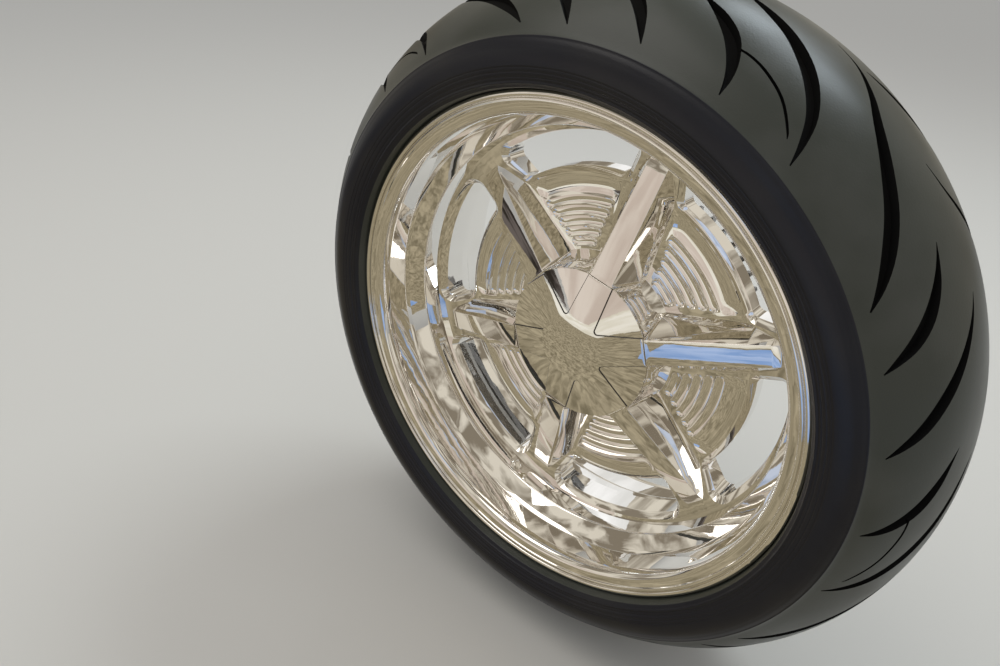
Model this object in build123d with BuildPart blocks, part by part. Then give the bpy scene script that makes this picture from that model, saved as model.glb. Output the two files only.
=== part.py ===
"""Rear wheel of a custom motorcycle, on the stub axle that carries it.

The axle lies along Y. The deep polished dish faces -Y, +Z is up and +X points to the rear of the
motorcycle. The origin is the centre of the stub axle's mounting face, whose normal is +Y.
Lengths are in millimetres. "Depth" is the distance behind the plane of the dished side's rim lip.
"""
import os
from math import asin, atan, cos, degrees, pi, radians, sin, sqrt

from build123d import *

os.makedirs("parts", exist_ok=True)

# Rim: a 17 inch by 6.25 inch tyre seat
bead_seat_r = 215.9
flange_height = 17.5
flange_thick = 6.6
seat_width = 158.8
lip_roll = 3.0
lip_step_in = 5.8
lip_step = 2.6
inner_bead_width = 3.6
inner_bead_depth = 1.2
lip_root_in = 19.0
lip_root_depth = 5.4
dish_start = 15.0
dish_flare = 1.2
barrel_wall = 4.5
step_round = 2.0
well_drop = 13.4
well_depth = 52.0
well_fall = 7.0
well_step = 2.5
bead_root = 1.5
hump_height = 1.6
hump_depth = 29.5
hump_half = 2.5
dish_end = 38.0
seat_gap = 0.3

# Tyre: 200 mm wide section
tyre_height = 103.6
tyre_width = 198.0
widest_share = 0.353
crown_radius = 112.3
shoulder_share = 0.889
tread_thick = 11.0
sidewall_thick = 7.0
shoulder_thick = 9.0
shoulder_inset = 6.0
bead_width = 17.0
bead_toe = 12.0
wall_bulge = 7.5

# Place of the wheel on its axle
mount_to_centre = 148.0

# Spokes: one flat strip each, between sloping walls
spoke_count = 6
spoke_phase = 18.0
strip_inner_half = 11.5
strip_outer_half = 9.5
strip_inner_depth = 50.0
strip_outer_depth = 72.7
strip_end_in = 23.0
strip_end_fall = 8.5
flare_length = 7.0
flare_top_half = 27.0
flare_foot_half = 32.0
foot_hub_half = 26.9
foot_inner_half = 25.6
foot_window_half = 22.2
foot_ring_half = 18.0
foot_outer_half = 16.0
foot_root = 4.0
foot_sink = 0.2

# Web: a disc that carries the spokes, with a scalloped panel and one window in each bay
web_depth = 84.4
web_back_depth = 102.0
ring_slope = 0.26
groove_first_r = 84.0
groove_count = 5
groove_depth = 1.6
cove_width = 20.0
cove_depth = 1.8
panel_side_inner = 31.6
panel_side_outer = 27.0
panel_corner = 3.0
window_wall = 8.0
window_height = 32.0
window_side_inner = 28.0
window_side_outer = 22.3
window_corner = 8.0
window_bevel = 5.0
pocket_depth = 7.0
pocket_margin = 12.0
pocket_inner_half = 18.0
pocket_outer_half = 21.0

# Hub and its domed cap
cap_r = 73.0
cap_flat = 72.0
cap_edge = 3.0
dome_round_r = 33.0
dome_wall = 4.0
petal_depth = 0.8
petal_tip_r = 30.8
petal_half_turn = 33.0
petal_corner = 3.0
spigot_r = 50.0
spigot_depth = 6.0
hub_foot_r = 74.0
hub_foot_depth = 77.0
boss_r = 62.0
boss_root = 14.0
boss_back_depth = 146.0

# Axle and bearings
shaft_r = 17.5
bearing_r = 36.0
bearing_width = 17.0
near_bearing_depth = 62.0
far_bearing_depth = 127.0
hub_bore_r = 30.0
run_gap = 0.05
axle_end_depth = 47.5
nut_half = 23.0
nut_height = 12.0
spacer_r = 23.5

# Mounting flange of the axle
flange_r = 62.0
flange_plate = 14.0
flange_bolt_r = 46.0
flange_bolts = 6
flange_hole_r = 5.25
register_r = 24.0
register_length = 10.0

# Brake disc on its carrier
disc_r = 122.5
disc_inner_r = 92.0
disc_thick = 5.0
disc_hole_r = 3.5
disc_hole_rows = 3
disc_hole_start = 5
disc_hole_twist = 10
carrier_thick = 6.0
carrier_bore_r = 40.0
carrier_hub_r = 62.0
carrier_arm_half = 9.0
carrier_arm_flare = 2.0
arm_corner = 4.0
bobbin_r = 6.5
bobbin_length = 8.0

# Sprocket, and the drum that spaces it off the hub
chain_pitch = 15.875
roller_r = 5.08
tooth_count = 40
sprocket_thick = 8.0
sprocket_depth = 200.0
drum_bore_r = 31.0
drum_r = 42.0
drum_foot_r = 58.0
drum_head_r = 66.0
drum_plate = 9.0
lighten_inner_half = 19.0
lighten_outer_half = 22.0
lighten_margin = 13.0
tooth_flare = 1.8

# Valve and balance weight on the hidden side of the rim
valve_behind_web = 8.5
valve_spoke = 4
valve_r = 5.0
valve_hole_r = 5.75
valve_flange = 2.5
valve_nut_half = 6.5
valve_length = 30.0
valve_cap_length = 9.0
valve_seat = 3.0
valve_nut_height = 4.0
weight_length = 66.0
weight_width = 13.0
weight_thick = 5.0

# Worked out from the sizes above
rim_width = seat_width + 2 * flange_thick
lip_r = bead_seat_r + flange_height
centre_depth = rim_width / 2
mount_depth = centre_depth + mount_to_centre
lip_y = -mount_depth
well_r = bead_seat_r - well_drop
web_r = well_r - barrel_wall
dish_r = bead_seat_r - barrel_wall
tyre_r = bead_seat_r + tyre_height
widest_r = bead_seat_r + widest_share * tyre_height
shoulder_half = shoulder_share * tyre_width / 2
shoulder_r = tyre_r - crown_radius + sqrt(crown_radius**2 - shoulder_half**2)
bay = 360 / spoke_count
first_bay = spoke_phase + bay / 2
valve_angle = spoke_phase + valve_spoke * bay
cap_seat_depth = strip_inner_depth + cap_edge
strip_end_r = web_r - strip_end_in
valve_depth = web_back_depth + valve_behind_web
window_outer_r = web_r - window_wall
window_inner_r = window_outer_r - window_height
ring_start_r = window_inner_r - window_bevel - 1
groove_end_r = ring_start_r - cove_width
groove_pitch = (groove_end_r - groove_first_r) / groove_count
web_inner_r = hub_foot_r + web_depth - hub_foot_depth
strip_fall = (strip_outer_depth - strip_inner_depth) / (strip_end_r - cap_flat)


def at_depth(depth):
    """Plane across the axle at a depth, facing the viewer of the dish, with X right and Z up."""
    return Plane(origin=(0, lip_y + depth, 0), x_dir=(1, 0, 0), z_dir=(0, -1, 0))


def across_spoke(along):
    """Plane square to a spoke that lies along +X, its local y being minus the depth."""
    return Plane(origin=(along, lip_y, 0), x_dir=(0, 0, 1), z_dir=(1, 0, 0))


def towards_axle(angle, depth, radius):
    """Plane on the rim that faces the axle, at an angle from +X towards +Z."""
    out = (cos(radians(angle)), 0, sin(radians(angle)))
    origin = (radius * out[0], lip_y + depth, radius * out[2])
    return Plane(origin=origin, x_dir=(0, 1, 0), z_dir=(-out[0], 0, -out[2]))


def section(points):
    """Points given as (radius, depth), as points of the XY plane."""
    return [(r, lip_y + depth) for r, depth in points]


def ring(inner_r, outer_r, start, end):
    """Plain ring or disc between two depths, made in the part being built."""
    with BuildSketch(at_depth(end)) as profile:
        Circle(outer_r)
        if inner_r:
            Circle(inner_r, mode=Mode.SUBTRACT)
    extrude(profile.sketch, amount=end - start)


def bay_outline(inner_r, outer_r, inner_half, outer_half, corner):
    """Opening between two arms, centred on local +X, its half angles given at each radius."""
    near = (inner_r * cos(radians(inner_half)), inner_r * sin(radians(inner_half)))
    far = (outer_r * cos(radians(outer_half)), outer_r * sin(radians(outer_half)))
    with BuildSketch() as outline:
        with BuildLine():
            ThreePointArc((near[0], -near[1]), (inner_r, 0), near)
            Line(near, far)
            ThreePointArc(far, (outer_r, 0), (far[0], -far[1]))
            Line((far[0], -far[1]), (near[0], -near[1]))
        make_face()
        fillet(outline.vertices(), corner)
    return outline.sketch


def strip_at(along):
    """Half width and depth of a spoke's flat strip, at a distance from the axle."""
    share = (along - cap_flat) / (strip_end_r - cap_flat)
    half = strip_inner_half + share * (strip_outer_half - strip_inner_half)
    return half, strip_inner_depth + share * (strip_outer_depth - strip_inner_depth)


def ring_depth_at(radius):
    """Depth of the sloping ring that holds the windows."""
    return web_depth - ring_slope * (radius - ring_start_r)


def export(piece, name):
    piece.part.label = name
    export_step(piece.part, f"parts/{name}.step")


# Rim barrel: one hoop, its dish side stepped and its tyre side with seat, hump and well
with BuildPart() as rim_barrel:
    with BuildSketch(Plane.XY):
        with BuildLine():
            ThreePointArc(
                *section([(lip_r - lip_roll, 0), (lip_r, lip_roll), (lip_r - lip_roll, 2 * lip_roll)])
            )
            Polyline(
                *section(
                    [
                        (lip_r - lip_roll, 2 * lip_roll),
                        (bead_seat_r + bead_root, flange_thick),
                        (bead_seat_r, flange_thick + bead_root),
                        (bead_seat_r + hump_height / 2, hump_depth - hump_half),
                        (bead_seat_r + hump_height, hump_depth),
                        (bead_seat_r + hump_height / 2, hump_depth + hump_half),
                        (well_r + well_step, well_depth - well_fall),
                        (well_r, well_depth),
                        (well_r, centre_depth),
                        (web_r, centre_depth),
                        (web_r, well_depth + step_round),
                        (web_r + step_round, well_depth - step_round),
                        (dish_r - step_round, dish_end),
                        (dish_r, dish_end - step_round),
                        (dish_r + dish_flare, dish_start),
                    ]
                )
            )
            ThreePointArc(
                *section(
                    [
                        (dish_r + dish_flare, dish_start),
                        (lip_r - lip_root_in, lip_root_depth),
                        (lip_r - lip_step_in - inner_bead_width, lip_step),
                    ]
                )
            )
            ThreePointArc(
                *section(
                    [
                        (lip_r - lip_step_in - inner_bead_width, lip_step),
                        (lip_r - lip_step_in - inner_bead_width / 2, inner_bead_depth),
                        (lip_r - lip_step_in, lip_step),
                    ]
                )
            )
            ThreePointArc(
                *section(
                    [
                        (lip_r - lip_step_in, lip_step),
                        (lip_r - lip_step_in + lip_step / 3, lip_step / 3),
                        (lip_r - lip_roll, 0),
                    ]
                )
            )
        make_face()
        mirror(about=Plane(origin=(0, -mount_to_centre, 0), z_dir=(0, 1, 0)))
    revolve(axis=Axis.Y)
    with BuildSketch(towards_axle(valve_angle, valve_depth, lip_r)):
        Circle(valve_hole_r)
    extrude(amount=lip_r - web_r + dish_start, mode=Mode.SUBTRACT)
export(rim_barrel, "rim_barrel")

# Tyre: a hollow carcass whose beads sit between the rim's flanges
with BuildPart() as tyre:
    with BuildSketch(Plane.XY.move(Location((0, -mount_to_centre, 0)))):
        half = tyre_width / 2
        bead_out = seat_width / 2 - seat_gap
        bead_r = bead_seat_r + hump_height + seat_gap
        inside_r = shoulder_r - shoulder_thick
        with BuildLine():
            Line((tyre_r - tread_thick, 0), (tyre_r, 0))
            RadiusArc((tyre_r, 0), (shoulder_r, shoulder_half), -crown_radius)
            ThreePointArc(
                (shoulder_r, shoulder_half), (widest_r, half), (lip_r + bead_root, half - wall_bulge)
            )
            Polyline(
                (lip_r + bead_root, half - wall_bulge),
                (lip_r + seat_gap, rim_width / 2 - 1),
                (lip_r + seat_gap, bead_out),
                (bead_r, bead_out),
                (bead_r, bead_out - bead_width),
                (bead_r + bead_toe, bead_out - bead_toe),
                (lip_r + bead_toe / 2, bead_out - 2),
            )
            ThreePointArc(
                (lip_r + bead_toe / 2, bead_out - 2),
                (widest_r, half - sidewall_thick),
                (inside_r, shoulder_half - shoulder_inset),
            )
            RadiusArc(
                (inside_r, shoulder_half - shoulder_inset),
                (tyre_r - tread_thick, 0),
                crown_radius - tread_thick,
            )
        make_face()
        mirror(about=Plane.XZ)
    revolve(axis=Axis.Y)
export(tyre, "tyre")

# Spoke: a flat strip between two sloping walls, lofted through sections listed from the hub out.
# Columns: distance from the axle, strip half width and depth, half width of the foot on the web.
ring_end_r = strip_end_r + strip_end_fall
foot_start = hub_foot_r + panel_corner
window_start = window_inner_r - 1
end_share = (strip_end_r - window_start) / (web_r - window_start)
foot_end_half = foot_window_half + end_share * (foot_outer_half - foot_window_half)
spoke_sections = [
    (hub_foot_r - flare_length, flare_top_half, strip_inner_depth, flare_foot_half),
    (hub_foot_r, *strip_at(hub_foot_r), foot_hub_half),
    (foot_start, *strip_at(foot_start), foot_inner_half),
    (window_start, *strip_at(window_start), foot_window_half),
    (strip_end_r, *strip_at(strip_end_r), foot_end_half),
    (ring_end_r, strip_outer_half, ring_depth_at(ring_end_r) + foot_sink, foot_ring_half),
    (web_r + 1, strip_outer_half, ring_depth_at(web_r) + foot_sink, foot_outer_half),
]
with BuildPart() as spoke:
    for along, top_half, top_depth, foot_half in spoke_sections:
        with BuildSketch(across_spoke(along)):
            with BuildLine():
                right = [
                    (top_half, -top_depth),
                    (foot_half, -web_depth),
                    (foot_half, -web_depth - foot_root),
                ]
                Polyline(*right, *[(-x, y) for x, y in reversed(right)], close=True)
            make_face()
    loft(ruled=True)

# Panels: what a round cutter takes from the web in each bay, five scallops and a wide cove outside them
panel = bay_outline(
    groove_first_r,
    ring_start_r,
    bay / 2 - degrees(asin(panel_side_inner / groove_first_r)),
    bay / 2 - degrees(asin(panel_side_outer / ring_start_r)),
    panel_corner,
)
with BuildPart() as panels:
    with BuildSketch(Plane.XY):
        with BuildLine():
            for number in range(groove_count):
                start = groove_first_r + number * groove_pitch
                ThreePointArc(
                    *section(
                        [
                            (start, web_depth),
                            (start + groove_pitch / 2, web_depth + groove_depth),
                            (start + groove_pitch, web_depth),
                        ]
                    )
                )
            ThreePointArc(
                *section(
                    [
                        (groove_end_r, web_depth),
                        (groove_end_r + cove_width / 2, web_depth + cove_depth),
                        (ring_start_r, web_depth),
                    ]
                )
            )
            Polyline(
                *section(
                    [
                        (ring_start_r, web_depth),
                        (ring_start_r, web_depth - 1),
                        (groove_first_r, web_depth - 1),
                        (groove_first_r, web_depth),
                    ]
                )
            )
        make_face()
    revolve(axis=Axis.Y)
    with BuildSketch(at_depth(web_back_depth)):
        with PolarLocations(0, spoke_count, start_angle=first_bay):
            add(panel)
    extrude(amount=web_back_depth, mode=Mode.INTERSECT)

# Wheel centre: hub, web with its panels and windows, and the spokes, machined from one forging
window_inner_half = bay / 2 - degrees(asin(window_side_inner / window_inner_r))
window_outer_half = bay / 2 - degrees(asin(window_side_outer / window_outer_r))
window = bay_outline(
    window_inner_r, window_outer_r, window_inner_half, window_outer_half, window_corner
)
pocket = bay_outline(
    boss_r + pocket_margin,
    window_inner_r - pocket_margin,
    pocket_inner_half,
    pocket_outer_half,
    window_corner,
)


def on_window(edge):
    """Whether an edge is part of a window's outline on the front of the web."""
    radii = [sqrt(point.X**2 + point.Z**2) for point in edge.vertices()]
    inside = window_inner_r - 1 < min(radii) and max(radii) < window_outer_r + 1
    return inside and max(point.Y for point in edge.vertices()) < lip_y + web_depth


with BuildPart() as wheel_centre:
    with BuildSketch(Plane.XY):
        with BuildLine():
            Polyline(
                *section(
                    [
                        (web_inner_r, web_depth),
                        (hub_foot_r, hub_foot_depth),
                        (cap_r + seat_gap, cap_seat_depth),
                        (spigot_r + seat_gap, cap_seat_depth),
                        (spigot_r + seat_gap, cap_seat_depth + spigot_depth + 1),
                        (bearing_r, cap_seat_depth + spigot_depth + 1),
                        (bearing_r, near_bearing_depth + bearing_width),
                        (hub_bore_r, near_bearing_depth + bearing_width),
                        (hub_bore_r, far_bearing_depth),
                        (bearing_r, far_bearing_depth),
                        (bearing_r, boss_back_depth),
                        (boss_r, boss_back_depth),
                        (boss_r, web_back_depth + boss_root),
                        (boss_r + boss_root / 3, web_back_depth + boss_root / 2),
                        (window_inner_r - window_corner, web_back_depth),
                        (web_r, web_back_depth),
                        (web_r, ring_depth_at(web_r)),
                        (ring_start_r, web_depth),
                    ]
                ),
                close=True,
            )
        make_face()
    revolve(axis=Axis.Y)
    with BuildSketch(at_depth(web_back_depth + 1)):
        with PolarLocations(0, spoke_count, start_angle=first_bay):
            add(window)
    extrude(amount=web_back_depth, mode=Mode.SUBTRACT)
    chamfer(wheel_centre.edges().filter_by(on_window), window_bevel)
    add(panels.part, mode=Mode.SUBTRACT)
    with BuildSketch(at_depth(web_back_depth + boss_root)):
        with PolarLocations(0, spoke_count, start_angle=first_bay):
            add(pocket)
    extrude(amount=boss_root + pocket_depth, mode=Mode.SUBTRACT)
    for number in range(spoke_count):
        add(spoke.part, rotation=(0, -spoke_phase - number * bay, 0))
    with BuildSketch(at_depth(cap_seat_depth)):
        Circle(cap_r + seat_gap)
        RegularPolygon(
            cap_flat + seat_gap, 6, major_radius=False, rotation=first_bay, mode=Mode.INTERSECT
        )
    extrude(amount=cap_seat_depth, mode=Mode.SUBTRACT)
    with BuildSketch(at_depth(web_back_depth + 1)):
        Circle(lip_r)
        Circle(web_r, mode=Mode.SUBTRACT)
    extrude(amount=web_back_depth, mode=Mode.SUBTRACT)
export(wheel_centre, "wheel_centre")

# Hub cap: a thin dome with six strips that carry on the spokes, and a petal between each two
cone_turn = atan(strip_fall)
dome_radius = dome_round_r / sin(cone_turn)
dome_centre = strip_inner_depth - strip_fall * (cap_flat - dome_round_r) + dome_radius * cos(cone_turn)
petal_side = 2 * cap_r


def dome(inset, edge_r):
    """Outline of the dome from the axle out: the round middle, then the cone that carries on the strips."""
    radius = dome_radius - inset
    middle = [
        (radius * sin(turn), dome_centre - radius * cos(turn)) for turn in (0, cone_turn / 2, cone_turn)
    ]
    edge_depth = middle[2][1] + strip_fall * (edge_r - middle[2][0])
    return section(middle), section([middle[2], (edge_r, edge_depth)])


with BuildSketch() as petal:
    turn = radians(petal_half_turn)
    far = (petal_tip_r + petal_side * cos(turn), petal_side * sin(turn))
    with BuildLine():
        Polyline((petal_tip_r, 0), far, (far[0], -far[1]), close=True)
    make_face()
    fillet(petal.vertices().sort_by(Axis.X)[0], petal_corner)

with BuildPart() as petals:
    with BuildSketch(Plane.XY):
        with BuildLine():
            low, low_cone = dome(petal_depth, cap_r + 1)
            high, high_cone = dome(-petal_depth, cap_r + 1)
            ThreePointArc(*low)
            ThreePointArc(*high)
            Polyline(*low_cone, *reversed(high_cone))
            Line(low[0], high[0])
        make_face()
    revolve(axis=Axis.Y)
    with BuildSketch(at_depth(cap_seat_depth)):
        with PolarLocations(0, spoke_count, start_angle=first_bay):
            add(petal.sketch)
    extrude(amount=cap_seat_depth, mode=Mode.INTERSECT)

with BuildPart() as hub_cap:
    with BuildSketch(Plane.XY):
        inner_r = spigot_r - dome_wall
        outside, outside_cone = dome(0, cap_r)
        inside, inside_cone = dome(dome_wall, inner_r)
        with BuildLine():
            ThreePointArc(*outside)
            Polyline(
                *outside_cone,
                *section(
                    [
                        (cap_r, cap_seat_depth),
                        (spigot_r, cap_seat_depth),
                        (spigot_r, cap_seat_depth + spigot_depth),
                        (inner_r, cap_seat_depth + spigot_depth),
                    ]
                ),
                *reversed(inside_cone),
            )
            ThreePointArc(*inside)
            Line(inside[0], outside[0])
        make_face()
    revolve(axis=Axis.Y)
    add(petals.part, mode=Mode.SUBTRACT)
    with BuildSketch(at_depth(cap_seat_depth + spigot_depth)):
        RegularPolygon(cap_flat, 6, major_radius=False, rotation=first_bay)
    extrude(amount=cap_seat_depth + spigot_depth, mode=Mode.INTERSECT)
export(hub_cap, "hub_cap")

# Wheel bearings, each a closed unit pressed into the hub
for name, start in (("bearing_near", near_bearing_depth), ("bearing_far", far_bearing_depth)):
    with BuildPart() as bearing:
        ring(shaft_r + run_gap, bearing_r, start, start + bearing_width)
        chamfer(bearing.edges().filter_by(GeomType.CIRCLE).group_by(SortBy.RADIUS)[-1], 1)
    export(bearing, name)

# Valve through the rim's well, and the weight that balances it
with BuildPart() as valve_stem:
    with BuildSketch(towards_axle(valve_angle, valve_depth, well_r + valve_seat)):
        Circle(valve_hole_r + valve_flange)
    extrude(amount=valve_seat - seat_gap)
    with BuildSketch(towards_axle(valve_angle, valve_depth, well_r + valve_seat)):
        Circle(valve_r)
    extrude(amount=valve_length)
    with BuildSketch(towards_axle(valve_angle, valve_depth, web_r - seat_gap)):
        RegularPolygon(valve_nut_half, 6, major_radius=False)
    extrude(amount=valve_nut_height)
export(valve_stem, "valve_stem")

with BuildPart() as valve_cap:
    with BuildSketch(towards_axle(valve_angle, valve_depth, well_r + valve_seat - valve_length)):
        Circle(valve_r)
    extrude(amount=valve_cap_length)
    chamfer(valve_cap.faces().sort_by(SortBy.DISTANCE)[0].edges(), 0.8)
export(valve_cap, "valve_cap")

with BuildPart() as balance_weight:
    turn = degrees(weight_length / web_r)
    with BuildSketch(Plane.XY):
        with Locations(*section([(web_r - seat_gap - weight_thick / 2, valve_depth)])):
            Rectangle(weight_thick, weight_width)
    revolve(axis=Axis.Y, revolution_arc=turn)
balance_weight.part = balance_weight.part.rotate(Axis.Y, 180 - valve_angle - turn / 2)
export(balance_weight, "balance_weight")

# Floating brake disc: a drilled ring, held by bobbins on a carrier with one arm for each spoke
carrier_depth = boss_back_depth
bobbin_circle_r = disc_inner_r - seat_gap / 2
with BuildPart() as brake_disc:
    middle = carrier_depth + carrier_thick / 2
    ring(disc_inner_r, disc_r, middle - disc_thick / 2, middle + disc_thick / 2)
    row_start = spoke_phase + disc_hole_start
    with BuildSketch(at_depth(middle + disc_thick)):
        with PolarLocations(bobbin_circle_r, spoke_count, start_angle=spoke_phase):
            Circle(bobbin_r + seat_gap)
        for row in range(disc_hole_rows):
            row_r = disc_inner_r + (row + 1) * (disc_r - disc_inner_r) / (disc_hole_rows + 1)
            with PolarLocations(row_r, 2 * spoke_count, start_angle=row_start + row * disc_hole_twist):
                Circle(disc_hole_r)
    extrude(amount=2 * disc_thick, mode=Mode.SUBTRACT)
export(brake_disc, "brake_disc")

with BuildPart() as disc_carrier:
    carrier_r = disc_inner_r - seat_gap
    ring(carrier_bore_r, carrier_r, carrier_depth, carrier_depth + carrier_thick)
    gap_half = bay / 2 - degrees(asin(carrier_arm_half / carrier_hub_r))
    rim_half = bay / 2 - degrees(asin((carrier_arm_half + carrier_arm_flare) / carrier_r))
    arm_gap = bay_outline(carrier_hub_r, carrier_r + 10, gap_half, rim_half, arm_corner)
    with BuildSketch(at_depth(carrier_depth + carrier_thick + 1)):
        with PolarLocations(0, spoke_count, start_angle=first_bay):
            add(arm_gap)
        with PolarLocations(bobbin_circle_r, spoke_count, start_angle=spoke_phase):
            Circle(bobbin_r + seat_gap)
    extrude(amount=2 * carrier_thick, mode=Mode.SUBTRACT)
export(disc_carrier, "disc_carrier")

with BuildPart() as disc_bobbins:
    with BuildSketch(at_depth(carrier_depth + (carrier_thick + bobbin_length) / 2)):
        with PolarLocations(bobbin_circle_r, spoke_count, start_angle=spoke_phase):
            Circle(bobbin_r)
    extrude(amount=bobbin_length)
export(disc_bobbins, "disc_bobbins")

# Drum: bolted through the carrier to the hub, with the sprocket on its far flange
drum_depth = carrier_depth + carrier_thick
with BuildPart() as sprocket_drum:
    ring(drum_bore_r, carrier_bore_r - seat_gap, carrier_depth, drum_depth)
    ring(drum_bore_r, drum_foot_r, drum_depth, drum_depth + drum_plate)
    ring(drum_bore_r, drum_r, drum_depth, sprocket_depth + sprocket_thick / 2)
    ring(drum_bore_r, drum_head_r, sprocket_depth - drum_plate, sprocket_depth)
export(sprocket_drum, "sprocket_drum")

pitch_r = chain_pitch / (2 * sin(pi / tooth_count))
tip_r = chain_pitch * (0.6 + 1 / sin(pi / tooth_count) * cos(pi / tooth_count)) / 2
with BuildPart() as sprocket:
    with BuildSketch(at_depth(sprocket_depth + sprocket_thick)):
        Circle(tip_r)
        Circle(drum_r + seat_gap, mode=Mode.SUBTRACT)
        with PolarLocations(pitch_r, tooth_count):
            Circle(roller_r, mode=Mode.SUBTRACT)
            Polygon(
                (-1, -roller_r),
                (tip_r - pitch_r + 1, -roller_r - tooth_flare),
                (tip_r - pitch_r + 1, roller_r + tooth_flare),
                (-1, roller_r),
                align=None,
                mode=Mode.SUBTRACT,
            )
        lightening = bay_outline(
            drum_head_r + arm_corner,
            pitch_r - lighten_margin,
            lighten_inner_half,
            lighten_outer_half,
            arm_corner,
        )
        with PolarLocations(0, spoke_count, start_angle=first_bay):
            add(lightening, mode=Mode.SUBTRACT)
    extrude(amount=sprocket_thick)
export(sprocket, "sprocket")

# Fixed side: stub axle, nut, spacer sleeve and mounting flange
with BuildPart() as stub_axle:
    ring(0, shaft_r, axle_end_depth, mount_depth + register_length)
    chamfer(stub_axle.edges().filter_by(GeomType.CIRCLE), 2)
export(stub_axle, "stub_axle")

with BuildPart() as axle_nut:
    with BuildSketch(at_depth(near_bearing_depth - seat_gap)):
        RegularPolygon(nut_half, 6, major_radius=False)
        Circle(shaft_r + run_gap, mode=Mode.SUBTRACT)
    extrude(amount=nut_height)
export(axle_nut, "axle_nut")

with BuildPart() as axle_spacer:
    ring(
        shaft_r + run_gap,
        spacer_r,
        far_bearing_depth + bearing_width + seat_gap,
        mount_depth - flange_plate,
    )
export(axle_spacer, "axle_spacer")

with BuildPart() as axle_flange:
    ring(0, flange_r, mount_depth - flange_plate, mount_depth)
    ring(0, register_r, mount_depth, mount_depth + register_length)
    chamfer(axle_flange.edges().filter_by(GeomType.CIRCLE).group_by(SortBy.RADIUS)[-1], 2)
    with BuildSketch(at_depth(mount_depth + register_length + 1)):
        Circle(shaft_r + run_gap)
        with PolarLocations(flange_bolt_r, flange_bolts):
            Circle(flange_hole_r)
    extrude(amount=flange_plate + register_length + 2, mode=Mode.SUBTRACT)
export(axle_flange, "axle_flange")
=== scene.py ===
"""Rear wheel of a custom motorcycle on its stub axle: fine shapes, finishes, light and camera.

The axle lies along Y with the polished dish towards -Y, and Z is up. Profiles are given in millimetres as
radius from the axle and depth behind the plane of the dished side's lip.
"""

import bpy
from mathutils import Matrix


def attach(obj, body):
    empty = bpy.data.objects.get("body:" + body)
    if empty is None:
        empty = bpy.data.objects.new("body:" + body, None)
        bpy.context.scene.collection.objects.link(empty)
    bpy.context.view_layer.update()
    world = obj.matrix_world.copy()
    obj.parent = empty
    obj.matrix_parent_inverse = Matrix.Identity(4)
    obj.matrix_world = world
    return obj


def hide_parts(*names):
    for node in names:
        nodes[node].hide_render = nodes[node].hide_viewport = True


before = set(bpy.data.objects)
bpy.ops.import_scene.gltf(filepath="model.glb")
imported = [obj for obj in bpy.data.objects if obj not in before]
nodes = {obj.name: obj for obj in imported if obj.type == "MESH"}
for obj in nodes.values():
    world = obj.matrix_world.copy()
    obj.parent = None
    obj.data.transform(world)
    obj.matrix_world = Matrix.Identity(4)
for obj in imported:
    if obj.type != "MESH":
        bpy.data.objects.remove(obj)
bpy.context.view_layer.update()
from math import acos, asin, atan2, cos, degrees, hypot, pi, radians, sin, sqrt, tan

import bmesh
import bpy
from mathutils import Euler, Vector

# Floor and light: a plain pale floor and sky, a large soft lamp over the left front and a cooler one behind.
# Glowing cards and a warm glowing hall that only mirror finishes show are painted reflections: they stand in
# for the room, with its lit and shaded floor and walls, that polished metal needs.
bpy.context.scene.view_settings.view_transform = "Standard"
floor_height, floor_size = -0.3195, 24.0


def add_node(tree, kind, inputs=(), **settings):
    """Node of a kind with its settings, and its inputs set to values or linked to sockets."""
    node = tree.nodes.new("ShaderNode" + kind)
    for key, value in settings.items():
        setattr(node, key, value)
    for key, value in dict(inputs).items():
        if isinstance(value, bpy.types.NodeSocket):
            tree.links.new(value, node.inputs[key])
        else:
            node.inputs[key].default_value = value
    return node


def span(tree, value, start, end, low=0.0, high=1.0):
    """Value carried from one range to another and kept inside it."""
    inputs = {"Value": value, "From Min": start, "From Max": end, "To Min": low, "To Max": high}
    return add_node(tree, "MapRange", inputs).outputs[0]


def mix_colours(tree, share, first, second):
    """Colour between two others by a share."""
    return add_node(tree, "Mix", {0: share, 6: first, 7: second}, data_type="RGBA").outputs[2]


def new_material(name):
    """New node material, with its tree and its shader."""
    made = bpy.data.materials.new(name)
    made.use_nodes = True
    return made, made.node_tree, made.node_tree.nodes["Principled BSDF"]


bpy.ops.object.select_all(action="DESELECT")
bpy.ops.mesh.primitive_plane_add(size=floor_size, location=(0, 0, floor_height))
floor = bpy.context.object
floor.name = "floor"
floor_paint, tree, shader = new_material("floor")
shader.inputs["Base Color"].default_value = (0.64, 0.60, 0.53, 1)
shader.inputs["Specular IOR Level"].default_value = 0
floor.data.materials.append(floor_paint)

world = bpy.data.worlds.new("studio")
bpy.context.scene.world = world
world.use_nodes = True
direction = add_node(world.node_tree, "TexCoord").outputs["Generated"]
height = add_node(world.node_tree, "SeparateXYZ", {"Vector": direction}).outputs["Z"]
rise = span(world.node_tree, height, 0.0, 0.3)
sky = mix_colours(world.node_tree, rise, (0.76, 0.76, 0.75, 1), (0.80, 0.85, 0.93, 1))
background = world.node_tree.nodes["Background"]
world.node_tree.links.new(sky, background.inputs["Color"])
background.inputs["Strength"].default_value = 0.72


def add_lamp(name, place, aim, width, height, power, colour):
    """Soft rectangular lamp at a place, facing a point, in metres and watts."""
    bpy.ops.object.light_add(type="AREA", location=place)
    lamp = bpy.context.object
    lamp.name = name
    lamp.data.shape = "RECTANGLE"
    lamp.data.size = width
    lamp.data.size_y = height
    lamp.data.energy = power
    lamp.data.color = colour
    lamp.rotation_euler = (Vector(aim) - Vector(place)).to_track_quat("-Z", "Y").to_euler()
    lamp.visible_camera = False


add_lamp("key", (-0.9, -1.0, 2.6), (0, -0.15, 0), 1.8, 1.8, 18, (1.0, 0.97, 0.93))
add_lamp("back", (0.3, 1.15, 2.15), (0, -0.15, 0.2), 1.5, 0.7, 26, (0.80, 0.91, 1.0))


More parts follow.
